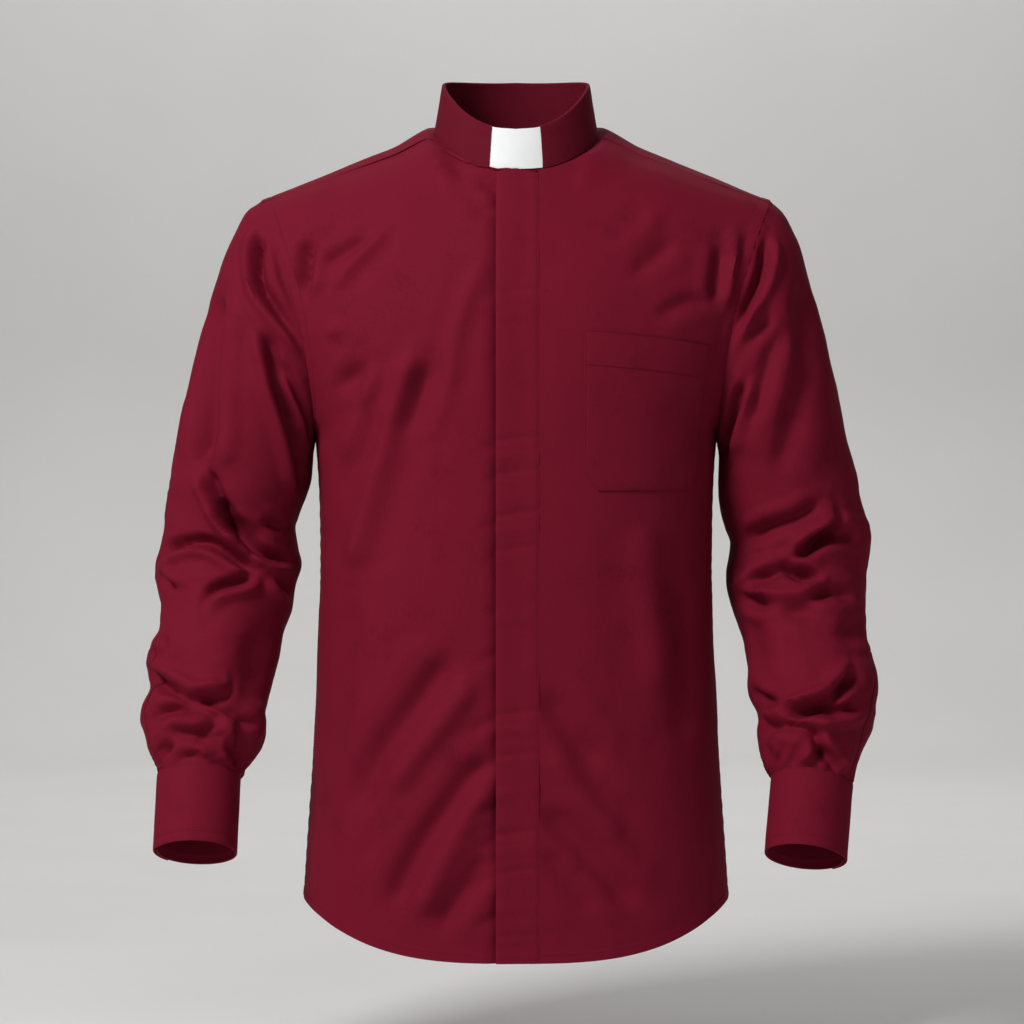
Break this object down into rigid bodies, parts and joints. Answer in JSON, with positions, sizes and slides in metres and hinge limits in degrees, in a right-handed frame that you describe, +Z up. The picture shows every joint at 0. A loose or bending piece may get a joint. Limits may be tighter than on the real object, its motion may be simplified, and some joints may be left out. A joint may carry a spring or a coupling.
{
  "type": "clergy shirt",
  "caption": "Long-sleeved clergy shirt in its worn form, with a tab collar, concealed-button placket, yoke, chest pocket and shirt-tail hem.",
  "frame": {"origin": "middle of the neck opening at its base, where the wearer's shoulders carry the shirt", "axes": "+Z up, the front faces -Y, the wearer's left is +X"},
  "size_m": [0.6764, 0.2659, 0.8081],
  "materials": {
    "poplin": "woven cotton poplin, soft sheen",
    "collar_poplin": "woven cotton poplin over an interlining",
    "tab_plastic": "flexible white plastic, satin",
    "button_plastic": "dyed polyester button, polished"
  },
  "bodies": {
    "root": {"front_right": "poplin", "front_left": "poplin", "placket": "poplin", "pocket": "poplin", "back": "poplin", "yoke": "poplin", "sleeve_right": "poplin", "sleeve_left": "poplin", "sleeve_placket_right": "poplin", "sleeve_placket_left": "poplin", "cuff_right": "poplin", "cuff_left": "poplin", "collar_band": "collar_poplin", "collar_tab": "tab_plastic", "cuff_button_right": "button_plastic", "cuff_button_left": "button_plastic"}
  },
  "joints": []
}
